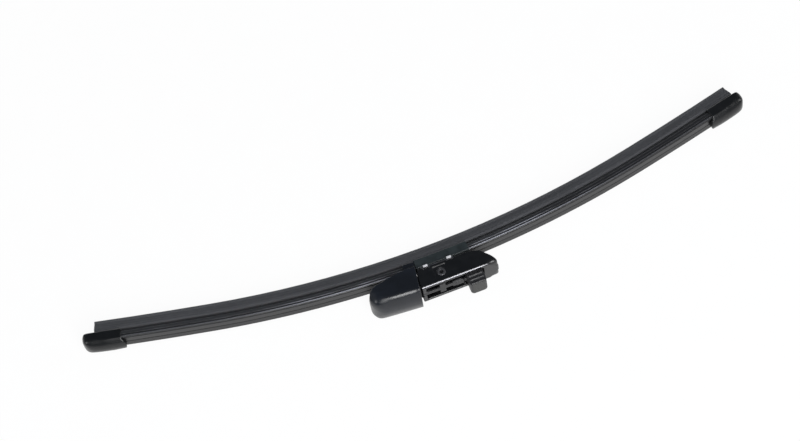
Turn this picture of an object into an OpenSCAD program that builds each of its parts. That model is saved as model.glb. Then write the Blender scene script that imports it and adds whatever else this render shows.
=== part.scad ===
// Flat wiper blade with its arm connector, lying on its side.
// X runs along the blade, Y points to the rubber lip, Z is up across the blade.
// Depth means the distance from the lip edge toward the back of the blade.

/* [Blade curve] */
// radius of the lip edge over the middle of the blade
bow_r = 593; // [480:1:1200]
// radius of the lip edge over the flatter ends
tip_r = 2100; // [1300:10:4000]
// arc length from the pivot to where the flatter ends begin
bow_half = 127; // [90:1:140]
// arc length from the pivot to the outer face of the left end cap
left_end = 200.6; // [198:0.1:240]
// arc length from the pivot to the outer face of the right end cap
right_end = 198.9; // [197:0.1:240]

/* [Wiper rubber] */
// arc length from the pivot to the left end of the rubber
rubber_left = 193.2; // [180:0.1:195]
// arc length from the pivot to the right end of the rubber
rubber_right = 194.8; // [180:0.1:194.8]
// half thickness of the lip edge
lip_half = 0.35; // [0.25:0.05:0.6]
// depth at which the lip starts to widen
lip_depth = 1.8; // [1:0.1:3]
// depth at which the wedge is widest
wedge_depth = 6.7; // [5:0.1:7]
// half width of the wedge
wedge_half = 2.9; // [2.2:0.1:3.4]
// height of the wedge's shoulder
shoulder_h = 1.3; // [0.8:0.1:1.5]
// half thickness of the neck
neck_half = 0.55; // [0.4:0.05:0.8]
// height of the open neck between wedge and head
neck_h = 1.3; // [1:0.1:2]
// half width of the head
head_half = 2.95; // [2.6:0.05:3]
// how far the head reaches in front of the rails
head_front = 2.2; // [1.5:0.1:2.6]
// how far the head reaches behind the rails
head_back = 0.85; // [0.5:0.05:1]

/* [Spring rails] */
// width of one rail
rail_w = 3.4; // [2.6:0.1:3.6]
// thickness of one rail
rail_t = 0.9; // [0.7:0.05:1.1]
// half of the web of rubber between the two rails
web_half = 1.1; // [0.8:0.05:1.4]

/* [Cover strips] */
// half width of the cover strip
cover_half = 5.25; // [5.1:0.05:5.6]
// front lip of the cover that hooks in front of the rails
hook_t = 0.65; // [0.5:0.05:0.9]
// height of the cover behind the rails
cover_back = 2.55; // [2.2:0.05:3.2]
// depth of the line that runs along the cover's side
side_line = 0.45; // [0.2:0.05:0.6]
// depth of the shallow line along the middle of the back
back_line = 0.25; // [0.1:0.05:0.5]

/* [End caps] */
// length of an end cap
cap_l = 22.6; // [19:0.2:26]
// half width of an end cap
cap_half = 6.1; // [5.9:0.1:7]
// depth of the crest of an end cap
cap_crest = 17.8; // [17:0.1:18.4]
// how far the crest stands over the cap's side faces
cap_crown = 3; // [2:0.1:3.4]
// how far the mouth of an end cap laps over the cover strip
cap_lap = 2.2; // [1.6:0.2:4]
// how far the back of the mouth reaches out as a rounded lip
cap_lip = 2.2; // [1:0.1:3]

/* [Clamp and bracket] */
// arc length from the pivot to the left end of the clamp
clamp_left = 11.8; // [11:0.1:11.9]
// arc length from the pivot to the right end of the clamp
clamp_right = 19; // [16:0.5:22]
// half width of the clamp
clamp_half = 6.3; // [6:0.1:6.4]
// how far the clamp reaches in front of the rails
clamp_front = 2.5; // [1.5:0.1:2.6]
// depth of the clamp's back, where the bracket sits
seat_depth = 15; // [14.8:0.1:15.4]
// thickness of the bracket plate
plate_t = 1.2; // [1:0.1:1.4]
// half length of the bracket floor
floor_half = 9.6; // [9:0.1:10]
// distance between the two ears, inside
ear_gap = 9.4; // [9:0.1:9.6]
// radius of an ear round the pin
ear_r = 3.2; // [2.8:0.1:3.4]
// distance of the side lugs from the pivot
lug_x = 7; // [6:0.1:7.5]
// length of a side lug
lug_l = 2.6; // [2:0.1:3]
// half width over the side lugs
lug_half = 8.2; // [7.8:0.1:8.4]

/* [Pivot pin] */
// depth of the pin's axis
pin_depth = 22.7; // [22.4:0.1:23]
// diameter of the pin
pin_d = 3; // [2.6:0.1:3.2]
// diameter of the pin's ring end
ring_d = 4.8; // [4.2:0.1:5]
// diameter of the hollow in the pin's end
hollow_d = 2.6; // [2:0.1:2.8]
// outside diameter of the bush on the pin
bush_d = 4; // [3.8:0.1:4.4]

/* [Adapter] */
// half width of the adapter
body_half = 8.5; // [8.2:0.1:9]
// thickness of the adapter's side walls
body_wall = 1.8; // [1.5:0.1:1.9]
// distance from the pin to the left end of the adapter
body_left = 13.7; // [12.8:0.1:13.7]
// distance from the pin to the right end of the adapter
body_right = 32.1; // [28:0.1:36]
// how far the adapter reaches in front of the pin, toward the blade
body_ahead = 5.9; // [5.5:0.1:6.1]
// how far the adapter reaches behind the pin
body_behind = 6.1; // [5.7:0.1:6.6]
// radius of the adapter's rounded right end
nose_round = 15.5; // [12:0.5:18]
// thickness of the adapter's back wall
roof_t = 1.6; // [1.2:0.1:1.8]
// half width of the opening in the adapter's back
window_half = 6.2; // [5.8:0.1:6.4]
// thickness of the adapter's left end wall
end_wall = 2.2; // [1.8:0.1:2.4]
// length of the spigot that reaches into the nose cover
spigot_l = 1.9; // [1.4:0.1:2.2]
// half width of the spigot
spigot_half = 7; // [6:0.1:7.4]
// size of the sunk square panel round the pin
panel = 8.6; // [7:0.2:9]
// diameter of the pivot tube inside the adapter
tube_d = 5.8; // [5.4:0.1:6]

/* [Release latch] */
// travel of the latch in degrees
latch_turn = 6; // [3:0.5:7]
// thickness of the latch tongue
tongue_t = 1.1; // [0.9:0.1:1.2]
// half width of the latch tongue
tongue_half = 1.3; // [1:0.1:1.6]
// half width of the cross plate on the tongue
cross_half = 4.4; // [3.6:0.1:4.5]
// length of the release button
button_l = 9.8; // [8:0.2:10.2]
// distance from the pin to the near end of the button
button_x = 12.2; // [11.8:0.1:12.6]
// half width of the release button
button_half = 5; // [4.4:0.1:5.6]
// how far the button stands out of the adapter's back
button_out = 7.4; // [5:0.2:8]
// how far a grip ridge stands out of the button's side
ridge = 0.4; // [0.2:0.05:0.5]

/* [Nose cover] */
// distance from the pin to the nose's right end
nose_right = 14; // [14:0.1:15]
// length of the nose cover
nose_l = 30.2; // [29:0.2:31]
// half width of the nose cover
nose_half = 10.8; // [10:0.1:11.4]
// how far the nose's crest lies behind the pin at its right end
nose_behind = 10.4; // [9.9:0.1:11]
// how far the crest stands over the nose's side faces
nose_crown = 3.6; // [3:0.1:4]
// slope of the nose's crest in degrees
nose_pitch = 4.5; // [3:0.1:5]
// slant of the nose's right end in degrees
nose_slant = 8.5; // [6:0.5:10]
// wall of the nose cover
nose_wall = 1.6; // [1.2:0.1:2]
// length of the claws that grip the rails
claw_l = 4.9; // [3:0.1:6]

/* [Fits] */
// play between parts that clip together
clip_gap = 0.06; // [0.02:0.01:0.12]
// radial play of the turning parts
run_gap = 0.05; // [0.03:0.01:0.08]

/* [Hidden] */
deg = 180 / PI;
bow_a = bow_half / bow_r * deg;
fine = 720;
round_n = 96;
eps = 0.01;
far = 60;
shoulder_depth = wedge_depth + shoulder_h;
head_depth = shoulder_depth + neck_h;
rail_depth = head_depth + head_front;
rail_back = rail_depth + rail_t;
rail_out = web_half + rail_w;
cover_front = rail_depth - hook_t - clip_gap;
cover_depth = rail_back + cover_back;
cap_front = shoulder_depth + 0.9;
cap_round = 6.6;
clamp_depth = rail_depth - clamp_front;
rivet_foot = seat_depth - 1.3;
body_front = pin_depth - body_ahead;
body_back = pin_depth + body_behind;
button_top = body_back + button_out;
nose_crest = pin_depth + nose_behind;
wall_in = body_half - body_wall;
roof_in = body_back - roof_t;
swing_r = nose_right * cos(nose_slant) - 0.3;
tongue_back = roof_in + tongue_t + 0.3;
tongue_front = tongue_back - tongue_t;
root_x = end_wall / 2 - body_left;
stop_depth = tongue_front - (1 - root_x) * tan(latch_turn) - 0.05;
nose_left = nose_right + nose_l;
mid_z = nose_half;
shift_x = (cap_reach(left_end - cap_l) - cap_reach(right_end - cap_l)) / 2;
shift_y = (button_top - max(tip_y(rubber_left), tip_y(rubber_right))) / 2;

// Slope of the blade, and place of its lip edge, at an arc length on the right flatter end.
function tip_angle(s) = bow_a + (s - bow_half) / tip_r * deg;
function tip_x(s) = tip_r * sin(tip_angle(s)) - (tip_r - bow_r) * sin(bow_a);
function tip_y(s) = bow_r + (tip_r - bow_r) * cos(bow_a) - tip_r * cos(tip_angle(s));

// How far an end cap reaches along X when its mouth is at an arc length.
function cap_reach(s) = tip_x(s) + (cap_l - cap_round) * cos(tip_angle(s))
  + (cap_crest - cap_round) * sin(tip_angle(s)) + cap_round;

// Places a part of the blade in the frame that all parts share.
module in_row() {
  translate([shift_x, shift_y, mid_z]) children();
}

// Sweeps a section of depth and width along the blade from one arc length to another.
module sweep(from, to) {
  if (max(-from, to) <= bow_half) sweep_middle(from, to) children();
  else {
    if (to > 0) sweep_half(from, to) children();
    if (from < 0) mirror([1, 0, 0]) sweep_half(-to, -from) children();
  }
}

// Right half of a sweep, cut off at the middle of the blade where it runs on to the left.
module sweep_half(from, to) {
  if (from < bow_half) intersection() {
    sweep_middle(from < 0 ? -1 : from, min(to, bow_half)) children();
    translate([0, -far, -far]) cube([5 * far, 3 * far, 2 * far]);
  }
  if (to > bow_half) sweep_tip(max(from, bow_half), to) children();
}

// Sweeps a section back along the middle arc, starting from its right end.
module sweep_middle(from, to) {
  translate([0, bow_r, 0]) rotate([0, 0, to == bow_half ? bow_a : to / bow_r * deg]) mirror([1, 0, 0])
    rotate([0, 0, -90]) rotate_extrude(angle = (to - from) / bow_r * deg, $fn = fine)
      translate([bow_r, 0]) children();
}

// Sweeps a section along the flatter end on the right.
module sweep_tip(from, to) {
  translate([0, bow_r, 0]) rotate([0, 0, bow_a]) translate([0, tip_r - bow_r, 0])
    rotate([0, 0, (from - bow_half) / tip_r * deg - 90])
      rotate_extrude(angle = (to - from) / tip_r * deg, $fn = fine)
        translate([tip_r, 0]) children();
}

// Puts a straight part at an arc length on the right flatter end, X along the blade.
module at_tip(s) {
  translate([tip_x(s), tip_y(s), 0]) rotate([0, 0, tip_angle(s)]) children();
}

// Extrudes a section of depth and width along X.
module along_x(from, to) {
  translate([from, 0, 0]) rotate([90, 0, 90]) linear_extrude(to - from) mirror([1, 0]) children();
}

// Extrudes a side view, drawn in X and Y, to both sides of the middle.
module across(half) {
  translate([0, 0, -half]) linear_extrude(2 * half) children();
}

// A bar of the section, given by its depths and half widths.
module slab(d0, d1, w0, w1) {
  translate([d0, w0]) square([d1 - d0, w1 - w0]);
}

module both_sides() {
  children();
  mirror([0, 1]) children();
}

// Space that rails and rubber head take up inside whatever holds them.
module rail_space(front) {
  slab(front, rail_depth + eps, -head_half - 0.1, head_half + 0.1);
  slab(rail_depth - clip_gap, rail_back + clip_gap, -rail_out - clip_gap, rail_out + clip_gap);
  slab(rail_back, rail_back + head_back + clip_gap, -head_half + 0.15, head_half - 0.15);
}

// Wiper strip: thin lip, wedge, neck, and a head with a groove for each rail.
module rubber_section() {
  both_sides() {
    polygon([[0, 0], [0, lip_half], [lip_depth, lip_half + 0.08], [wedge_depth - 0.5, wedge_half - 0.15],
      [wedge_depth, wedge_half], [shoulder_depth - 0.2, wedge_half], [shoulder_depth, wedge_half - 0.3],
      [shoulder_depth + 0.1, neck_half], [shoulder_depth + 0.1, 0]]);
    slab(shoulder_depth, rail_back + head_back, 0, neck_half);
    polygon([[head_depth, 0], [head_depth, head_half - 0.25], [head_depth + 0.25, head_half],
      [rail_depth, head_half], [rail_depth, web_half], [rail_back, web_half],
      [rail_back, head_half - 0.25], [rail_back + head_back - 0.2, head_half - 0.25],
      [rail_back + head_back, head_half - 0.5], [rail_back + head_back, 0]]);
  }
}

module wiper_rubber() {
  color([0.2, 0.2, 0.21]) in_row() sweep(-rubber_left, rubber_right) rubber_section();
}

// Flat spring rail beside the web of the rubber head.
module rail() {
  sweep(-left_end + 2.8, right_end - 2.8)
    slab(rail_depth + clip_gap, rail_back - clip_gap, web_half + clip_gap, rail_out);
}

module rail_upper() {
  color([0.32, 0.32, 0.34]) in_row() rail();
}

module rail_lower() {
  color([0.32, 0.32, 0.34]) in_row() mirror([0, 0, 1]) rail();
}

// Cover strip: hooks round both rails, a line along each side and a dished back.
module cover_section() {
  line_d = rail_back + 0.55;
  difference() {
    both_sides() polygon([[cover_front, 0], [cover_front, cover_half - 0.35],
      [cover_front + 0.3, cover_half], [cover_depth - 1.1, cover_half],
      [cover_depth - 0.35, cover_half - 0.35], [cover_depth, cover_half - 1],
      [cover_depth - 0.1, 0.5], [cover_depth - 0.1 - back_line, 0]]);
    rail_space(cover_front - eps);
    both_sides() polygon([[line_d - 0.45, cover_half + eps], [line_d - 0.2, cover_half - side_line],
      [line_d + 0.2, cover_half - side_line], [line_d + 0.45, cover_half + eps]]);
  }
}

module cover_left() {
  color([0.25, 0.25, 0.27]) in_row()
    sweep(-left_end + cap_l - cap_lap + 0.2, -nose_right - claw_l - 0.1) cover_section();
}

module cover_right() {
  color([0.25, 0.25, 0.27]) in_row()
    sweep(clamp_right + 0.1, right_end - cap_l + cap_lap - 0.2) cover_section();
}

// Section with straight sides and a crowned back, the edges between them rounded.
module crowned(front, crest, half, crown, round) {
  crown_r = (half * half + crown * crown) / (2 * crown);
  mid = crest - crown_r;
  edge = mid + sqrt(pow(crown_r - round, 2) - pow(half - round, 2));
  out = crown_r / (crown_r - round);
  both_sides() {
    difference() {
      intersection() {
        translate([mid, 0]) circle(r = crown_r, $fn = 192);
        slab(front, crest, 0, half);
      }
      polygon([[edge, half - round], [edge, half + 1], [crest + 1, half + 1],
        [mid + (edge - mid) * out, (half - round) * out]]);
    }
    translate([edge, half - round]) circle(r = round, $fn = 64);
  }
}

// Outline of an end cap's section, its two front edges cut off.
module cap_section() {
  intersection() {
    crowned(cap_front, cap_crest, cap_half, cap_crown, 0.8);
    both_sides() polygon([[cap_front, 0], [cap_front, cap_half - 0.7], [cap_front + 0.7, cap_half],
      [cap_crest, cap_half], [cap_crest, 0]]);
  }
}

// Side view of an end cap, its outer back corner rounded, mouth at X = 0.
module cap_side_view() {
  r = cap_round;
  intersection() {
    translate([0, -cap_crest]) square([cap_l, cap_crest - cap_front]);
    union() {
      translate([cap_l - r, r - cap_crest]) circle(r = r, $fn = round_n);
      translate([-eps, -cap_crest - eps]) square([cap_l - r + eps, 20]);
      translate([0, r - cap_crest]) square([cap_l + eps, 20]);
    }
    polygon([[-eps, -cap_crest - eps], [cap_l, -cap_crest - eps], [cap_l, -cap_front - 3.4],
      [cap_l - 1.2, -cap_front + eps], [-eps, -cap_front + eps]]);
  }
}

// View of an end cap from the back, its outer corners rounded.
module cap_back_view() {
  r = 4.6;
  translate([-eps, -cap_half]) square([cap_l - r + eps, 2 * cap_half]);
  translate([0, r - cap_half]) square([cap_l, 2 * (cap_half - r)]);
  for (z = [r - cap_half, cap_half - r]) translate([cap_l - r, z]) circle(r = r, $fn = round_n);
}

// Rounded lip on the back of an end cap's mouth, over the cover strip.
module cap_mouth_lip() {
  half = cap_half - 0.7;
  r = (cap_lip * cap_lip + half * half) / (2 * cap_lip);
  intersection() {
    along_x(-cap_lip, eps) intersection() {
      cap_section();
      slab(cover_depth + 0.1, cap_crest + 1, -cap_half, cap_half);
    }
    rotate([90, 0, 0]) linear_extrude(20) translate([r - cap_lip, 0]) circle(r = r, $fn = 192);
  }
}

module end_cap() {
  crease = 5;
  cap_mouth_lip();
  difference() {
    intersection() {
      along_x(0, cap_l) cap_section();
      across(cap_half) cap_side_view();
      rotate([90, 0, 0]) linear_extrude(20) cap_back_view();
    }
    // mouth over the cover strip
    along_x(-eps, cap_lap)
      slab(cover_front - 0.15, cover_depth + 0.1, -cover_half - 0.1, cover_half + 0.1);
    // channel for the rails and the rubber head
    along_x(-eps, cap_l - 1.8) {
      slab(head_depth - 0.3, rail_depth + eps, -head_half - 0.1, head_half + 0.1);
      slab(rail_depth - 0.3, rail_back + 0.1, -rail_out - 0.1, rail_out + 0.1);
      slab(rail_back, rail_back + head_back + 0.1, -head_half, head_half);
    }
    // slot for the neck of the rubber
    along_x(-eps, cap_l - 1.8) slab(cap_front - eps, head_depth, -neck_half - 0.1, neck_half + 0.1);
    // slanted flat that runs from the mouth to the outer back corner
    for (m = [0, 1]) mirror([0, 0, m]) translate([-1, -13.4, cap_half])
      rotate([0, 0, -crease]) rotate([-14, 0, 0]) translate([0, -8, 0]) cube([cap_l + 4, 8, 4]);
  }
}

module end_cap_left() {
  color([0.15, 0.15, 0.16]) in_row() mirror([1, 0, 0]) at_tip(left_end - cap_l) end_cap();
}

module end_cap_right() {
  color([0.15, 0.15, 0.16]) in_row() at_tip(right_end - cap_l) end_cap();
}

// Section shared by everything that clamps the rails under the connector.
module clamp_section(half, front) {
  difference() {
    polygon([[front, 0.4 - half], [front, half - 0.4], [front + 0.4, half], [seat_depth - 0.5, half],
      [seat_depth, half - 0.5], [seat_depth, 0.5 - half], [seat_depth - 0.5, -half], [front + 0.4, -half]]);
    rail_space(front - eps);
  }
}

// Clamp that grips both rails and carries the bracket on its back.
module clamp_base() {
  color([0.22, 0.22, 0.23]) in_row() difference() {
    sweep(-clamp_left, clamp_right) clamp_section(clamp_half, clamp_depth);
    rivet_holes(2.4 + 2 * run_gap);
  }
}

// Holes for the rivets, from their feet in the clamp's back outward.
module rivet_holes(d) {
  for (x = [-1, 1]) translate([x * (floor_half - 3), -rivet_foot, 0]) rotate([90, 0, 0])
    cylinder(d = d, h = 5, $fn = round_n);
}

// Ear of the bracket, seen from the side: round head on a wide foot.
module ear_view() {
  difference() {
    union() {
      translate([0, -pin_depth]) circle(r = ear_r, $fn = round_n);
      polygon([[-ear_r, -pin_depth], [ear_r, -pin_depth], [floor_half - 2, -seat_depth],
        [2 - floor_half, -seat_depth]]);
    }
    translate([0, -pin_depth]) circle(d = pin_d + 2 * run_gap, $fn = round_n);
  }
}

// Pressed bracket: floor, two ears for the pin and four side lugs that stop the adapter's swing.
module pivot_bracket() {
  color([0.55, 0.55, 0.57]) in_row() difference() {
    union() {
      translate([-floor_half, -seat_depth - plate_t, -ear_gap / 2 - plate_t])
        cube([2 * floor_half, plate_t, ear_gap + 2 * plate_t]);
      for (m = [0, 1]) mirror([0, 0, m]) {
        translate([0, 0, ear_gap / 2]) linear_extrude(plate_t) ear_view();
        for (x = [-1, 1]) translate([x * lug_x - lug_l / 2, -seat_depth - plate_t, ear_gap / 2])
          cube([lug_l, plate_t, lug_half - ear_gap / 2]);
      }
    }
    rivet_holes(2.4 + 2 * run_gap);
  }
}

// Two rivets that hold the bracket down on the clamp.
module bracket_rivets() {
  color([0.6, 0.6, 0.6]) in_row()
    for (x = [-1, 1]) translate([x * (floor_half - 3), 0, 0]) rotate([90, 0, 0]) {
      translate([0, 0, rivet_foot])
        cylinder(d = 2.4, h = seat_depth + plate_t - rivet_foot + 0.4, $fn = round_n);
      translate([0, 0, seat_depth + plate_t]) cylinder(d = 4, h = 0.5, $fn = round_n);
      translate([0, 0, seat_depth + plate_t + 0.5]) cylinder(d1 = 4, d2 = 2.6, h = 0.4, $fn = round_n);
    }
}

// Pin across the connector, each end rolled out to a ring with a hollow middle.
module pivot_pin() {
  half = body_half - 0.05;
  color([0.5, 0.5, 0.5]) in_row() translate([0, -pin_depth, 0]) difference() {
    union() {
      translate([0, 0, -half]) cylinder(d = pin_d, h = 2 * half, $fn = round_n);
      for (m = [0, 1]) mirror([0, 0, m]) {
        translate([0, 0, half - 0.75]) cylinder(d = ring_d, h = 0.5, $fn = round_n);
        translate([0, 0, half - 0.25]) cylinder(d1 = ring_d, d2 = ring_d - 0.5, h = 0.25, $fn = round_n);
      }
    }
    for (m = [0, 1]) mirror([0, 0, m]) translate([0, 0, half - 1.1])
      cylinder(d1 = 1.2, d2 = hollow_d, h = 1.2, $fn = round_n);
  }
}

// Plain sleeve on the pin between the ears.
module pivot_bush() {
  color([0.75, 0.74, 0.7]) in_row() translate([0, -pin_depth, 0]) difference() {
    cylinder(d = bush_d, h = ear_gap - 2 * run_gap, center = true, $fn = round_n);
    cylinder(d = pin_d + 2 * run_gap, h = far, center = true, $fn = round_n);
  }
}

// Side view of the adapter: straight back, rounded right end, left end cut to swing past the nose.
module body_view(inset) {
  cy = -body_front - nose_round;
  r = 1.6;
  left = inset - body_left;
  right = body_right - inset;
  back = body_back - inset;
  intersection() {
    union() {
      translate([left, r - back]) square([right - left, far]);
      translate([left, -back]) square([right - left - r, far]);
      translate([right - r, r - back]) circle(r = r, $fn = 64);
    }
    union() {
      translate([body_right - nose_round, cy]) circle(r = nose_round - inset, $fn = 192);
      translate([-far, -far]) square([far + body_right - nose_round, far - body_front - inset]);
    }
    union() {
      translate([0, -pin_depth]) circle(r = swing_r - inset, $fn = 192);
      translate([-far, -far]) square([far, far - pin_depth]);
      translate([0, -far]) square([far, far]);
    }
  }
}

// Section of the adapter with its two back edges rounded.
module body_section() {
  r = 1.1;
  both_sides() {
    slab(body_front - 2, body_back - r, 0, body_half);
    slab(body_front, body_back, 0, body_half - r);
    translate([body_back - r, body_half - r]) circle(r = r, $fn = 64);
  }
}

// Adapter: channel with a window in its back, pivot tube on a web, sunk panels round the pin.
module adapter_body() {
  notch = seat_depth + plate_t + 1.3;
  color([0.11, 0.11, 0.12]) in_row() difference() {
    union() {
      difference() {
        intersection() {
          across(body_half) body_view(0);
          along_x(-far, far) body_section();
        }
        // inside of the channel, open toward the blade
        across(wall_in) intersection() {
          translate([-body_left + end_wall, -roof_in]) square([far, far]);
          union() {
            body_view(2);
            translate([-far, 2 - roof_in]) square([far + body_right - nose_round, far]);
            translate([0, -body_front - 5]) square([clamp_right + 3.5, 10]);
          }
        }
        // window in the back wall for the latch
        translate([-body_left + end_wall, -body_back - 1, -window_half])
          cube([body_left - end_wall + button_x + button_l + 0.6, 5, 2 * window_half]);
        // sunk square panel and pin seat in each side
        for (m = [0, 1]) mirror([0, 0, m]) {
          translate([-panel / 2, -pin_depth - panel / 2, body_half - 0.3]) cube([panel, panel, 1]);
          translate([0, -pin_depth, body_half - 0.85])
            cylinder(d = ring_d + 2 * run_gap, h = 2, $fn = round_n);
        }
      }
      // spigot that closes the gap to the nose cover and swings inside it
      translate([-body_left - spigot_l, -pin_depth - 3.4, -spigot_half])
        cube([spigot_l + 1, 6.7, 2 * spigot_half]);
      // pivot tube and the web that joins it to the left wall
      translate([0, -pin_depth, 0])
        cylinder(d = tube_d, h = ear_gap - 0.3, center = true, $fn = round_n);
      translate([-body_left + end_wall - 0.5, -pin_depth - 2.4, -1]) cube([body_left - end_wall, 4.2, 2]);
      translate([2, -pin_depth - 1.4, -1]) cube([5, 2.4, 2]);
      // stop on the pivot tube that ends the latch's travel
      translate([-1, -stop_depth, -1]) cube([2, stop_depth - pin_depth - bush_d / 2 - 0.3, 2]);
      // inner flanges beside the window
      for (m = [0, 1]) mirror([0, 0, m]) translate([button_x - 1.4, -roof_in - 0.2, window_half - 0.9])
        cube([1, 2.6, wall_in - window_half + 1.2]);
    }
    // bores for the bush and the pin
    translate([0, -pin_depth, 0]) {
      cylinder(d = bush_d + 2 * run_gap, h = ear_gap, center = true, $fn = round_n);
      cylinder(d = pin_d + 2 * run_gap, h = far, center = true, $fn = round_n);
    }
    // slot in the left wall for the tongue's root
    translate([-body_left - 1, -tongue_back - 0.18, -tongue_half - 0.15])
      cube([end_wall + 2, tongue_t + 0.36, 2 * tongue_half + 0.3]);
    // notches over the bracket's side lugs
    for (x = [-1, 1]) translate([x * lug_x - lug_l / 2 - 1, -notch, -far / 2]) cube([lug_l + 2, 5, far]);
  }
}

// Side view of the release button, its back corners rounded.
module button_view() {
  r = 2;
  translate([button_x, r - button_top]) square([button_l, button_top - tongue_front - r]);
  translate([button_x + r, -button_top]) square([button_l - 2 * r, 3]);
  for (x = [button_x + r, button_x + button_l - r]) translate([x, r - button_top]) circle(r = r, $fn = 64);
}

// Latch: tongue held in the left wall, cross plate over the pivot tube, ribbed hollow button.
module release_latch() {
  ridge_step = 2.5;
  color([0.13, 0.13, 0.14]) in_row() {
    translate([-body_left, -tongue_back, -tongue_half])
      cube([body_left + button_x + 1, tongue_t, 2 * tongue_half]);
    translate([-3.6, -tongue_back, -cross_half]) cube([3.5, tongue_t, 2 * cross_half]);
    translate([4, -tongue_back, -2.6]) cube([5.6, tongue_t, 5.2]);
    translate([6, -tongue_back - 0.4, -1.9]) cube([4.6, tongue_t, 3.8]);
    difference() {
      union() {
        across(button_half) button_view();
        for (i = [0 : 2])
          translate([button_x + 0.9, -button_top + 0.8 + i * ridge_step, -button_half - ridge])
            cube([button_l - 1.8, 1, 2 * (button_half + ridge)]);
      }
      translate([button_x + 1.5, 2 - button_top, 1.5 - button_half])
        cube([button_l - 3, button_top, 2 * button_half - 3]);
    }
  }
}

// Side of the slanted plane that ends the nose on the right.
module left_of_slant(shift) {
  translate([shift - nose_right, -pin_depth]) rotate([0, 0, -nose_slant])
    translate([-far, -far]) square([far, 2 * far]);
}

// Side view of the nose cover: left end leaning and rounded, its front corner rounded off.
module nose_view(inset, end_inset) {
  lean = 3;
  back_r = 9;
  front_r = 8;
  front = 2.4;
  turn = lean + nose_pitch;
  depth = (nose_crest - seat_depth * cos(nose_pitch) - nose_l * sin(nose_pitch)) / cos(turn);
  round_x = back_r * (1 - sin(turn));
  intersection() {
    left_of_slant(end_inset);
    translate([-nose_left, -seat_depth]) rotate([0, 0, lean]) intersection() {
      translate([inset, -far]) square([far, far + 12]);
      union() {
        translate([back_r, round_x / cos(turn) - depth]) circle(r = back_r - inset, $fn = 128);
        translate([round_x, -far]) square([far, far + 12]);
        translate([0, round_x / cos(turn) - depth]) square([far, far]);
      }
      union() {
        translate([front_r, -front_r - front]) circle(r = front_r - inset, $fn = 128);
        polygon([[front_r, -far], [front_r, -front], [nose_l + 8, 0], [nose_l + 8, -far]]);
        translate([0, -far]) square([far, far - front_r - front]);
      }
    }
  }
}

// View of the nose cover from the back, its left corners rounded.
module nose_back_view(inset) {
  r = 7.5 - inset;
  half = nose_half - inset;
  left = -nose_left + inset;
  translate([left + r, -half]) square([far, 2 * half]);
  translate([left, r - half]) square([far, 2 * (half - r)]);
  for (z = [r - half, half - r]) translate([left + r, z]) circle(r = r, $fn = 128);
}

module nose_solid(inset, end_inset) {
  intersection() {
    translate([-nose_right, 0, 0]) rotate([0, 0, -nose_pitch]) along_x(-nose_l - 10, 5)
      crowned(0, nose_crest - inset, nose_half - inset, nose_crown, 1.6 - inset / 2);
    across(nose_half) nose_view(inset, end_inset);
    rotate([90, 0, 0]) linear_extrude(far) nose_back_view(inset);
  }
}

// Nose cover: hollow shell on a saddle over the cover strip, with claws round the rails at its right end.
module nose_cover() {
  saddle = seat_depth + 1.7;
  color([0.12, 0.12, 0.13]) in_row() intersection() {
    union() {
      difference() {
        nose_solid(0, 1);
        intersection() {
          nose_solid(nose_wall, nose_wall);
          across(nose_half) translate([-far, -far]) square([far, far - saddle]);
        }
        // the shell ends on the back of the cover strip
        sweep(-nose_left - 10, 0) slab(-5, cover_depth + clip_gap, -20, 20);
      }
      sweep(-nose_right - claw_l, -5) difference() {
        both_sides() polygon([[clamp_depth + 0.6, -eps], [clamp_depth + 0.6, clamp_half - 0.4],
          [clamp_depth + 1, clamp_half], [seat_depth - 1, clamp_half + 0.4],
          [saddle + 1.5, nose_half], [saddle + 1.9, nose_half],
          [saddle, nose_half - 2.6], [saddle, -eps]]);
        rail_space(clamp_depth + 0.6 - eps);
      }
    }
    across(nose_half) left_of_slant(0);
  }
}

wiper_rubber();
rail_upper();
rail_lower();
cover_left();
cover_right();
end_cap_left();
end_cap_right();
clamp_base();
pivot_bracket();
bracket_rivets();
pivot_pin();
pivot_bush();
adapter_body();
release_latch();
nose_cover();
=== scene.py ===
import math

import bmesh
import bpy
from mathutils import Matrix, Vector


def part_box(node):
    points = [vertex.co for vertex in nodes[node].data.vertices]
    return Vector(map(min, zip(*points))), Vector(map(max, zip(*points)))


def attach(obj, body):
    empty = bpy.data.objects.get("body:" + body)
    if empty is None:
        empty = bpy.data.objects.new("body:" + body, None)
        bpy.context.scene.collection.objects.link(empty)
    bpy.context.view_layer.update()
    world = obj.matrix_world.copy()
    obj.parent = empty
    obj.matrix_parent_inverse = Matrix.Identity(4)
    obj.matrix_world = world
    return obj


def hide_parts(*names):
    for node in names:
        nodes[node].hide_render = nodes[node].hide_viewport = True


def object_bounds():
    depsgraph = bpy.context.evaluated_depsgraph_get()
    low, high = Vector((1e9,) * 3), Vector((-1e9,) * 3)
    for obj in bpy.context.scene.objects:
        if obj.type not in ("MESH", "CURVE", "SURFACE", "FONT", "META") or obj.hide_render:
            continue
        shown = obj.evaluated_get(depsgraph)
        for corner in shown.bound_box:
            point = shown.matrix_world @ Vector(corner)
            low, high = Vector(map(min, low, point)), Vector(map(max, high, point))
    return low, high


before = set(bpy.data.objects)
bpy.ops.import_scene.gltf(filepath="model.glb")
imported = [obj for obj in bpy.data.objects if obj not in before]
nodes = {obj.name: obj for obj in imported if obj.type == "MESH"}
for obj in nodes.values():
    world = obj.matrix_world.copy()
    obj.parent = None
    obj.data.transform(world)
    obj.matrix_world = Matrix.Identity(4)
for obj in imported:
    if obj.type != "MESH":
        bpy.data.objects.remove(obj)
cad_low, cad_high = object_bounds()
cad_low, cad_high = list(cad_low), list(cad_high)


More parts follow.
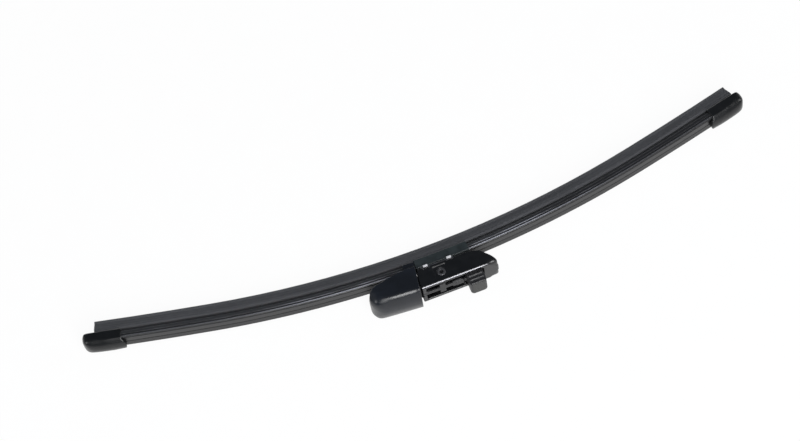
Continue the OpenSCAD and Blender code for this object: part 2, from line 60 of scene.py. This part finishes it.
# The wiper strip is natural rubber, extruded and cut to length: a wedge with a thin lip on its edge.
# Its flanks carry a matt graphite coat with faint streaks along the strip, and its head holds the rails.
class Value:
    """A number socket that can be used in a sum."""

    def __init__(self, maker, socket):
        self.maker = maker
        self.socket = socket

    def sum_with(self, operation, first, second=None):
        inputs = {0: first} if second is None else {0: first, 1: second}
        return self.maker.add("ShaderNodeMath", {"operation": operation}, inputs)

    def __add__(self, other):
        return self.sum_with("ADD", self, other)

    def __radd__(self, other):
        return self.sum_with("ADD", other, self)

    def __sub__(self, other):
        return self.sum_with("SUBTRACT", self, other)

    def __rsub__(self, other):
        return self.sum_with("SUBTRACT", other, self)

    def __mul__(self, other):
        return self.sum_with("MULTIPLY", self, other)

    def __rmul__(self, other):
        return self.sum_with("MULTIPLY", other, self)

    def __abs__(self):
        return self.sum_with("ABSOLUTE", self)

    def root(self):
        return self.sum_with("SQRT", self)

    def above(self, other):
        return self.sum_with("GREATER_THAN", self, other)

    def spread(self, low, high, to_low=0.0, to_high=1.0):
        return self.maker.add(
            "ShaderNodeMapRange",
            {"interpolation_type": "SMOOTHSTEP", "clamp": True},
            {"Value": self, "From Min": low, "From Max": high, "To Min": to_low, "To Max": to_high},
        )


class Finish:
    """One material under construction: its nodes are added one by one."""

    def __init__(self, name):
        self.material = bpy.data.materials.new(name)
        self.material.use_nodes = True
        self.tree = self.material.node_tree
        self.shader = self.tree.nodes["Principled BSDF"]
        place = self.add("ShaderNodeTexCoord", {}, {}, "Object")
        self.place = place

    def add(self, kind, settings, inputs, output=0):
        node = self.tree.nodes.new(kind)
        for key, value in settings.items():
            setattr(node, key, value)
        for key, value in inputs.items():
            self.feed(node.inputs[key], value)
        return Value(self, node.outputs[output])

    def feed(self, socket, value):
        if isinstance(value, Value):
            self.tree.links.new(value.socket, socket)
        else:
            socket.default_value = value

    def axes(self):
        node = self.tree.nodes.new("ShaderNodeSeparateXYZ")
        self.tree.links.new(self.place.socket, node.inputs[0])
        return [Value(self, node.outputs[i]) for i in range(3)]

    def vector(self, x, y, z):
        return self.add("ShaderNodeCombineXYZ", {}, {0: x, 1: y, 2: z})

    def cloud(self, scale, detail=3.0, where=None):
        inputs = {"Vector": where or self.place, "Scale": scale, "Detail": detail, "Roughness": 0.55}
        return self.add("ShaderNodeTexNoise", {"noise_dimensions": "3D"}, inputs)

    def blend(self, mask, first, second):
        node = self.tree.nodes.new("ShaderNodeMix")
        node.data_type = "RGBA"
        self.feed(node.inputs["Factor"], mask)
        self.feed(node.inputs[6], first)
        self.feed(node.inputs[7], second)
        return Value(self, node.outputs[2])

    def rounded(self, radius):
        return self.add("ShaderNodeBevel", {"samples": 6}, {"Radius": radius})

    def edge_wear(self, radius, low, high):
        soft = self.rounded(radius)
        flat = self.add("ShaderNodeNewGeometry", {}, {}, "Normal")
        match = self.add("ShaderNodeVectorMath", {"operation": "DOT_PRODUCT"}, {0: soft, 1: flat}, "Value")
        return (1 - match).spread(low, high)

    def bump(self, height, distance, strength=1.0, normal=None):
        inputs = {"Height": height, "Distance": distance, "Strength": strength}
        if normal is not None:
            inputs["Normal"] = normal
        return self.add("ShaderNodeBump", {}, inputs)

    def finish(self, colour, roughness, normal=None, metallic=0.0, coat=0.0):
        made = {"Base Color": colour, "Roughness": roughness, "Metallic": metallic, "Coat Weight": coat}
        for key, value in made.items():
            self.feed(self.shader.inputs[key], value)
        if normal is not None:
            self.feed(self.shader.inputs["Normal"], normal)


def shade(red, green, blue):
    """A colour as the eye reads it off a screen, 0 to 255, as Blender's own linear numbers."""
    linear = [((c / 255 + 0.055) / 1.055) ** 2.4 if c > 10 else c / 255 / 12.92 for c in (red, green, blue)]
    return (*linear, 1.0)


def dress(name, material):
    """Gives a solid of the part its finish."""
    node = nodes[name]
    node.data.materials.clear()
    node.data.materials.append(material)
    for polygon in node.data.polygons:
        polygon.material_index = 0
    return node


shift_x, shift_y, mid_z = 0.00082891, 0.00358793, 0.0108  # the source's origin and the middle height


def along_blade(made):
    """Place along the blade, depth from the lip's edge, and height, in metres, on any curved strip."""
    x, y, z = made.axes()
    x = x - shift_x
    y = y - shift_y
    bow, tip = 0.593, 2.1  # radii of the lip's middle and of its two ends
    turn = 0.127 / bow
    centre_x = -(tip - bow) * math.sin(turn)
    centre_y = bow + (tip - bow) * math.cos(turn)
    out = abs(x)
    up = bow - y
    middle = (x * x + up * up).root() - bow
    from_x = out - centre_x
    from_y = centre_y - y
    end = (from_x * from_x + from_y * from_y).root() - tip
    on_tip = out.above(bow * math.sin(turn))
    depth = middle + on_tip * (end - middle)
    return x, depth, z


rubber = Finish("graphite_rubber")
x, depth, z = along_blade(rubber)
streaks = rubber.cloud(1.0, 4.0, rubber.vector(x * 22, depth * 1900, z * 1900))
dust = rubber.cloud(260.0, 5.0)
grain = rubber.cloud(5200.0, 2.0)
tone = rubber.blend(streaks.spread(0.3, 0.7), shade(58, 59, 62), shade(77, 78, 81))
tone = rubber.blend(dust.spread(0.52, 0.78, 0.0, 0.35), tone, shade(84, 84, 88))
near_lip = depth.spread(0.0012, 0.0026, 1.0, 0.0)
tone = rubber.blend(near_lip * 0.35, tone, shade(58, 58, 60))
wear = rubber.edge_wear(0.0001, 0.05, 0.4)
tone = rubber.blend(wear * 0.35, tone, shade(105, 105, 110))
rough = 0.62 + 0.16 * streaks - 0.1 * wear
height = rubber.bump(streaks * 0.6 + grain * 0.4, 0.00002, 0.8, rubber.rounded(0.00008))
rubber.finish(tone, rough, height)
strip = dress("wiper_rubber", rubber.material)


# The two rails are flat spring steel strips, rolled to the curve of the blade and painted black.
# They lie in the grooves of the rubber's head, and only their outer edges show between rubber and cover.
rails = Finish("black_spring_steel")
x, depth, z = along_blade(rails)
drawn = rails.cloud(1.0, 5.0, rails.vector(x * 60, depth * 5200, z * 5200))
spots = rails.cloud(900.0, 4.0)
tone = rails.blend(drawn.spread(0.35, 0.7), shade(34, 34, 38), shade(52, 52, 58))
wear = rails.edge_wear(0.00015, 0.08, 0.5)
tone = rails.blend(wear * 0.6, tone, shade(140, 140, 150))
rough = 0.3 + 0.14 * spots + 0.08 * drawn
height = rails.bump(drawn, 0.00001, 0.6, rails.rounded(0.00012))
rails.finish(tone, rough, height, 0.35 + 0.5 * wear)
for name in ("rail_upper", "rail_lower"):
    rail = dress(name, rails.material)


# The cover strips are extruded black soft plastic, pushed over the rails from each end of the blade.
# Die lines run along them and their backs are satin. Near the connector, painted highlights lie as pale
# lines on the edge of the back and on the groove in each side.
cover = Finish("satin_cover_strip")
x, depth, z = along_blade(cover)
lines = cover.cloud(1.0, 4.0, cover.vector(x * 16, depth * 2600, z * 2600))
cloud = cover.cloud(180.0, 4.0)
grain = cover.cloud(6500.0, 2.0)
flat_side = abs(z - mid_z).spread(0.0046, 0.0052)
tone = cover.blend(cloud.spread(0.3, 0.7), shade(10, 10, 12), shade(16, 16, 19))
# Painted light: the side faces are painted paler than the rest of the strip, streaked along the die lines
# and fading towards the right end of the blade.
paler = lines.spread(0.3, 0.62, 0.5, 1.0) * x.spread(0.03, 0.09, 1.0, 0.3)
tone = cover.blend(flat_side * paler, tone, shade(44, 45, 47))
wear = cover.edge_wear(0.0002, 0.06, 0.45)
tone = cover.blend(wear * 0.4, tone, shade(86, 86, 92))
glints = cover.cloud(1.0, 2.0, cover.vector(x * 30, 0.0, 0.0)).spread(0.4, 0.62)
back_edge, groove_depth = 0.01386, 0.01244
# Painted highlight: pale lines on the edge of the back and on the groove in each side, strongest near the
# connector.
shoulder = abs(depth - back_edge).spread(0.00014, 0.0003, 1.0, 0.0) * abs(x).spread(0.04, 0.13, 0.75, 0.1)
groove = abs(depth - groove_depth).spread(0.0001, 0.00022, 1.0, 0.0)
groove = groove * glints * abs(x).spread(0.04, 0.12, 0.8, 0.1)
painted_highlight_lines = (shoulder + groove) * abs(z - mid_z).spread(0.0048, 0.005)
tone = cover.blend(painted_highlight_lines, tone, shade(140, 142, 152))
rough = 0.3 + 0.12 * lines + 0.06 * cloud
height = cover.bump(lines * 0.7 + grain * 0.3, 0.000022, 0.7, cover.rounded(0.00018))
cover.finish(tone, rough, height)
for name in ("cover_left", "cover_right"):
    strip = dress(name, cover.material)


# The end caps are injection moulded black plastic, clipped over the rails at both ends of the blade.
# They have a fine eroded grain, softly rounded corners and a back that bulges a little.
cap = Finish("moulded_cap")
grain = cap.cloud(3800.0, 3.0)
cloud = cap.cloud(140.0, 3.0)
tone = cap.blend(cloud.spread(0.3, 0.7), shade(6, 7, 8), shade(11, 12, 14))
wear = cap.edge_wear(0.0005, 0.06, 0.4)
tone = cap.blend(wear * 0.12, tone, shade(70, 70, 74))
rough = 0.24 + 0.1 * cloud + 0.08 * grain - 0.06 * wear
height = cap.bump(grain, 0.00002, 0.6, cap.rounded(0.0006))
cap.finish(tone, rough, height, coat=0.1 + 0.15 * wear)


def soften(name, piece_name, grain_size, passes, corners=(), crisp=None):
    """A moulded copy of a solid: its sharp edges run together as they do out of a worn mould.

    corners holds (direction, depth, passes, hold) for each corner that is rounded further. With hold,
    the corner keeps its reach. What lies furthest along crisp is left out of that rounding.
    """
    axes = {"use_axis_x": True, "use_axis_y": True, "use_axis_z": True}
    solid = bmesh.new()
    solid.from_mesh(nodes[name].data)
    bmesh.ops.remove_doubles(solid, verts=solid.verts, dist=0.000002)
    bmesh.ops.recalc_face_normals(solid, faces=solid.faces)
    data = bpy.data.meshes.new(piece_name + "_raw")
    solid.to_mesh(data)
    solid.free()
    raw = bpy.data.objects.new(piece_name + "_raw", data)
    bpy.context.scene.collection.objects.link(raw)
    remesh = raw.modifiers.new("skin", "REMESH")
    remesh.mode = "VOXEL"
    remesh.voxel_size = grain_size
    view = bpy.context.evaluated_depsgraph_get()
    skin = bpy.data.meshes.new_from_object(raw.evaluated_get(view))
    bpy.data.objects.remove(raw)
    shape = bmesh.new()
    shape.from_mesh(skin)
    for _ in range(passes):
        bmesh.ops.smooth_vert(shape, verts=shape.verts, factor=0.5, **axes)
    free = list(shape.verts)
    if crisp is not None:
        edge = max(v.co.dot(crisp) for v in free) - 0.0012
        free = [v for v in free if v.co.dot(crisp) < edge]
    for aim, depth, corner_passes, hold in corners:
        aim = Vector(aim).normalized()
        far = max(v.co.dot(aim) for v in free)
        chosen = [v for v in free if v.co.dot(aim) > far - depth]
        for _ in range(corner_passes):
            bmesh.ops.smooth_vert(shape, verts=chosen, factor=0.5, **axes)
        if hold:
            lost = far - max(v.co.dot(aim) for v in chosen)
            for v in chosen:
                v.co += aim * lost * max(0.0, (v.co.dot(aim) - far + depth) / (depth - lost))
    for face in shape.faces:
        face.smooth = True
    shape.to_mesh(skin)
    shape.free()
    piece = bpy.data.objects.new(piece_name, skin)
    bpy.context.scene.collection.objects.link(piece)
    return piece


for name, side in (("end_cap_left", -1), ("end_cap_right", 1)):
    rounding = (((side, 0, 0), 0.012, 70, True), ((0.55 * side, -0.83, 0), 0.0045, 160, False))
    end = soften(name, name + "_moulded", 0.0002, 2, rounding)
    outward, bulge = Vector((0.247 * side, -0.969, 0)), 0.0007
    depths = [v.co.dot(outward) for v in end.data.vertices]
    reaches = [abs(v.co.x) for v in end.data.vertices]
    middle, back = (min(depths) + max(depths)) / 2, max(depths)
    mouth, tip = min(reaches), max(reaches)
    for v, depth, reach in zip(end.data.vertices, depths, reaches):
        behind = max(0.0, (depth - middle) / (back - middle))
        v.co += outward * bulge * behind * math.sin(math.pi * (reach - mouth) / (tip - mouth))
    end.data.materials.append(cap.material)
    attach(end, "blade")
    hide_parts(name)


# The clamp is moulded from black plastic round both rails, under the connector that it carries.
# It is slightly blue and half matt, and handling has made its edges a little paler.
clamp = Finish("moulded_clamp")
cloud = clamp.cloud(320.0, 4.0)
grain = clamp.cloud(1500.0, 2.0)
tone = clamp.blend(cloud.spread(0.3, 0.7), shade(30, 36, 38), shade(40, 47, 49))
wear = clamp.edge_wear(0.0003, 0.06, 0.45)
tone = clamp.blend(wear * 0.5, tone, shade(96, 98, 102))
rough = 0.38 + 0.14 * cloud
height = clamp.bump(grain, 0.00003, 0.5, clamp.rounded(0.0003))
clamp.finish(tone, rough, height, 0.15)
base = dress("clamp_base", clamp.material)


# The bracket is pressed bright steel: a floor, two ears for the pin and side lugs that stop the swing.
# Two steel rivets hold it down on the clamp. Its faces are brushed from rolling and its edges sheared
# bright; the ends of the lugs carry a painted highlight.
bracket = Finish("pressed_bright_steel")
x, y, z = bracket.axes()
rolled = bracket.cloud(1.0, 5.0, bracket.vector(x * 420, y * 5600, z * 5600))
stain = bracket.cloud(330.0, 4.0)
tone = bracket.blend(rolled.spread(0.3, 0.7), shade(96, 96, 100), shade(130, 130, 134))
tone = bracket.blend(stain.spread(0.55, 0.8, 0.0, 0.5), tone, shade(84, 82, 80))
wear = bracket.edge_wear(0.0002, 0.05, 0.4)
# Painted highlight: the ends of the lugs are painted near white, rougher and less metallic, with their
# edges lighter still.
lugs = abs(z - mid_z).spread(0.007, 0.0076)
tone = bracket.blend(lugs, tone, shade(212, 212, 215))
tone = bracket.blend(wear * (0.1 + 0.5 * lugs), tone, shade(226, 226, 230))
rough = 0.3 + 0.15 * stain + 0.1 * rolled + 0.15 * lugs
height = bracket.bump(rolled, 0.000012, 0.6, bracket.rounded(0.0002))
bracket.finish(tone, rough, height, 0.85 - 0.5 * lugs)
plate = dress("pivot_bracket", bracket.material)
rivets = dress("bracket_rivets", bracket.material)


# The pin runs across the connector, turned from steel and rolled out to a ring at each end.
# The ring is bright grey, and its hollow middle is painted dark as painted shade.
pin = Finish("rolled_steel_pin")
x, y, z = pin.axes()
pin_depth = 0.0227
out_x = x - shift_x
out_y = y - shift_y + pin_depth
radius = (out_x * out_x + out_y * out_y).root()
turned = pin.cloud(1.0, 3.0, pin.vector(radius * 9000, z * 9000, 0.0))
haze = pin.cloud(700.0, 3.0)
tone = pin.blend(turned.spread(0.3, 0.7), shade(70, 70, 73), shade(96, 96, 99))
# Painted shade: the middle of the pin is painted dark where the hollow of its ends lies in shade.
tone = pin.blend(radius.spread(0.0009, 0.0013, 0.85, 0.0), tone, shade(20, 20, 22))
rough = 0.34 + 0.18 * haze
height = pin.bump(turned, 0.00001, 0.6, pin.rounded(0.0002))
pin.finish(tone, rough, height, 0.75)
axle = dress("pivot_pin", pin.material)


# The bush is a plain sleeve of natural nylon on the pin, between the ears of the bracket.
# It is dull and slightly yellow, with fine turning lines.
bush = Finish("nylon_bush")
x, y, z = bush.axes()
turned = bush.cloud(1.0, 2.0, bush.vector(0.0, 0.0, z * 6000))
haze = bush.cloud(500.0, 3.0)
tone = bush.blend(haze.spread(0.3, 0.7), shade(186, 183, 172), shade(205, 203, 194))
rough = 0.45 + 0.12 * haze
height = bush.bump(turned, 0.00002, 0.6, bush.rounded(0.0002))
bush.finish(tone, rough, height)
sleeve = dress("pivot_bush", bush.material)


# The adapter is moulded from black glass-filled plastic and swivels on the pin inside the arm.
# Its sides are smooth and fairly glossy and its back has a fine eroded grain; a painted highlight runs
# along the long edge between them. The corners of its slots, where the bracket's lugs stop the swing, are
# relieved.
adapter = Finish("moulded_adapter")
grain = adapter.cloud(4200.0, 3.0)
cloud = adapter.cloud(220.0, 4.0)
flow = adapter.cloud(1.0, 4.0, adapter.vector(*[a * k for a, k in zip(adapter.axes(), (90, 420, 420))]))
tone = adapter.blend(cloud.spread(0.3, 0.7), shade(5, 6, 8), shade(10, 11, 13))
tone = adapter.blend(flow.spread(0.6, 0.8, 0.0, 0.5), tone, shade(36, 36, 40))
back_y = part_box("adapter_body")[0].y
x, y, z = adapter.axes()
# Painted highlight: a pale line along the long edge between side and back, fading towards the right end.
painted_edge_highlight = abs(z - mid_z).spread(0.0078, 0.0081) * (y - back_y).spread(0.0003, 0.0006, 1.0, 0.0)
painted_edge_highlight = painted_edge_highlight * x.spread(0.02, 0.027, 0.9, 0.2)
# Worn edges are painted lighter: partly wear, partly a painted highlight on the rounded edges.
wear = adapter.edge_wear(0.0006, 0.05, 0.35)
tone = adapter.blend(wear * 0.3, tone, shade(150, 150, 156))
tone = adapter.blend(painted_edge_highlight, tone, shade(200, 200, 208))
rough = 0.22 + 0.1 * cloud + 0.08 * grain - 0.04 * wear
height = adapter.bump(grain, 0.00002, 0.5, adapter.rounded(0.0007))
adapter.finish(tone, rough, height, coat=0.1 + 0.2 * wear + 0.7 * wear * painted_edge_highlight)
edges = tuple(((0.7, 0, side), 0.004, 120, False) for side in (0.7, -0.7))
rounding = (((1, 0, 0), 0.005, 40, True),) + edges
body = soften("adapter_body", "adapter_moulded", 0.00025, 2, rounding)
stops, relief, relief_radius = ((-0.0083, -0.0138), (0.0099, -0.0137)), 0.0002, 0.0015
for v in body.data.vertices:
    for stop_x, stop_y in stops:
        near = max(0.0, 1 - math.hypot(v.co.x - stop_x, v.co.y - stop_y) / relief_radius)
        v.co.y -= relief * near * (abs(v.co.z - mid_z) > 0.006)
body.data.materials.append(adapter.material)
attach(body, "adapter")
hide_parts("adapter_body")


# The latch is one moulding of tougher black plastic: a thin tongue, a cross plate and a ribbed button.
# The thumb has dulled the ribs, and the button's back is painted greyer than its sides as a painted
# reflection.
latch = Finish("moulded_latch")
x, y, z = latch.axes()
grain = latch.cloud(4200.0, 3.0)
cloud = latch.cloud(300.0, 4.0)
tone = latch.blend(cloud.spread(0.3, 0.7), shade(24, 24, 26), shade(34, 34, 36))
# Painted reflection: the back of the button is painted greyer, standing in for the white sheet it faces.
painted_back_light = y.spread(-0.0328, -0.032, 0.8, 0.0)
tone = latch.blend(painted_back_light, tone, shade(54, 54, 51))
wear = latch.edge_wear(0.0003, 0.05, 0.4)
tone = latch.blend(wear * 0.5, tone, shade(104, 104, 100))
rough = 0.4 + 0.12 * cloud + 0.08 * grain
height = latch.bump(grain, 0.000025, 0.6, latch.rounded(0.0003))
latch.finish(tone, rough, height)
button = soften("release_latch", "latch_moulded", 0.00018, 3)
button.data.materials.append(latch.material)
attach(button, "latch")
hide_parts("release_latch")


# The nose cover is a moulded black shell on the cover strip, clipped round the rails by its claws.
# It is the glossiest piece of the blade, with large soft corners.
nose = Finish("moulded_nose")
grain = nose.cloud(3600.0, 3.0)
cloud = nose.cloud(110.0, 3.0)
tone = nose.blend(cloud.spread(0.3, 0.7), shade(10, 13, 19), shade(15, 19, 27))
# Worn edges are painted lighter: partly wear, partly a painted highlight on the large rounded edges.
wear = nose.edge_wear(0.0005, 0.06, 0.4)
tone = nose.blend(wear * 0.25, tone, shade(78, 78, 86))
rough = 0.24 + 0.1 * cloud + 0.08 * grain - 0.04 * wear
height = nose.bump(grain, 0.00002, 0.5, nose.rounded(0.0005))
nose.finish(tone, rough, height, coat=0.15 + 0.5 * wear)
edges = tuple(((-0.03, -0.7, side), 0.0045, 80, False) for side in (0.7, -0.7))
rounding = (((-1, 0, 0), 0.012, 60, True), ((-0.7, -0.7, 0), 0.006, 150, False)) + edges
shell = soften("nose_cover", "nose_moulded", 0.00026, 3, rounding, Vector((0.989, -0.148, 0)))
shell.data.materials.append(nose.material)
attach(shell, "blade")
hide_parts("nose_cover")


# The blade lies on a white sheet under one tall soft lamp on the side of its back, with two weak
# lamps at its ends. The sheet is white to the eye and in reflections, and keeps a faint shadow.
floor_mesh = bmesh.new()
bmesh.ops.create_grid(floor_mesh, x_segments=1, y_segments=1, size=4.0)
floor_data = bpy.data.meshes.new("floor")
floor_mesh.to_mesh(floor_data)
floor_mesh.free()
floor = bpy.data.objects.new("floor", floor_data)
bpy.context.scene.collection.objects.link(floor)
sheet = Finish("white_sheet")
paper = sheet.cloud(60.0, 3.0)
sheet.finish(sheet.blend(paper.spread(0.3, 0.7), shade(238, 238, 240), shade(244, 244, 246)), 0.9)
rays = sheet.tree.nodes.new("ShaderNodeLightPath")
seen = Value(sheet, rays.outputs["Is Camera Ray"]) + Value(sheet, rays.outputs["Is Glossy Ray"])
seen = seen + Value(sheet, rays.outputs["Is Transmission Ray"])
glow = sheet.tree.nodes.new("ShaderNodeEmission")
glow.inputs["Color"].default_value = (1, 1, 1, 1)
glow.inputs["Strength"].default_value = 1.0
mix = sheet.tree.nodes.new("ShaderNodeMixShader")
sheet.feed(mix.inputs[0], seen.spread(0.0, 1.0, 0.0, 0.94))
sheet.tree.links.new(sheet.shader.outputs[0], mix.inputs[1])
sheet.tree.links.new(glow.outputs[0], mix.inputs[2])
sheet.tree.links.new(mix.outputs[0], sheet.tree.nodes["Material Output"].inputs["Surface"])
floor.data.materials.append(sheet.material)

world = bpy.data.worlds.new("studio")
bpy.context.scene.world = world
world.use_nodes = True
room = world.node_tree
behind = room.nodes["Background"]
behind.inputs["Color"].default_value = (0.764, 0.864, 1.0, 1.0)
behind.inputs["Strength"].default_value = 0.154
white = room.nodes.new("ShaderNodeBackground")
white.inputs["Color"].default_value = (1.0, 1.0, 1.0, 1.0)
white.inputs["Strength"].default_value = 1.0
rays = room.nodes.new("ShaderNodeLightPath")
mix = room.nodes.new("ShaderNodeMixShader")
room.links.new(rays.outputs["Is Camera Ray"], mix.inputs[0])
room.links.new(behind.outputs[0], mix.inputs[1])
room.links.new(white.outputs[0], mix.inputs[2])
room.links.new(mix.outputs[0], room.nodes["World Output"].inputs["Surface"])


def softbox(name, place, aim, size, watts):
    data = bpy.data.lights.new(name, "AREA")
    data.shape = "RECTANGLE"
    data.size, data.size_y = size
    data.energy = watts
    lamp = bpy.data.objects.new(name, data)
    bpy.context.scene.collection.objects.link(lamp)
    lamp.location = place
    lamp.rotation_mode = "QUATERNION"
    lamp.rotation_quaternion = (Vector(aim) - Vector(place)).to_track_quat("-Z", "Y")


softbox("lamp_front", (0.15, -1.4, 1.3), (0, 0, 0), (0.7, 1.8), 46.0)
softbox("lamp_left", (-1.3, -0.1, 0.9), (0, 0, 0), (0.7, 0.7), 5.0)
softbox("lamp_right", (1.3, -0.1, 0.9), (0, 0, 0), (0.7, 0.7), 5.0)

azimuth, elevation, roll = math.radians(-10), math.radians(61), math.radians(-11.69)
back = Vector((
    math.sin(azimuth) * math.cos(elevation),
    -math.cos(azimuth) * math.cos(elevation),
    math.sin(elevation),
))
level = Vector((math.cos(azimuth), math.sin(azimuth), 0))
raised = back.cross(level)
right = math.cos(roll) * level + math.sin(roll) * raised
up = -math.sin(roll) * level + math.cos(roll) * raised
target = Vector((-0.0093 + shift_x, 0.0212 + shift_y, mid_z))
lens = bpy.data.cameras.new("camera")
lens.lens = 119.2
lens.sensor_width = 36
lens.sensor_fit = "HORIZONTAL"
lens.clip_start, lens.clip_end = 0.05, 50
camera = bpy.data.objects.new("camera", lens)
bpy.context.scene.collection.objects.link(camera)
eye = target + back * 1.5
turned = Matrix((right, up, back)).transposed().to_4x4()
camera.matrix_world = Matrix.Translation(eye) @ turned
bpy.context.scene.camera = camera
bpy.context.scene.view_settings.view_transform = "Standard"
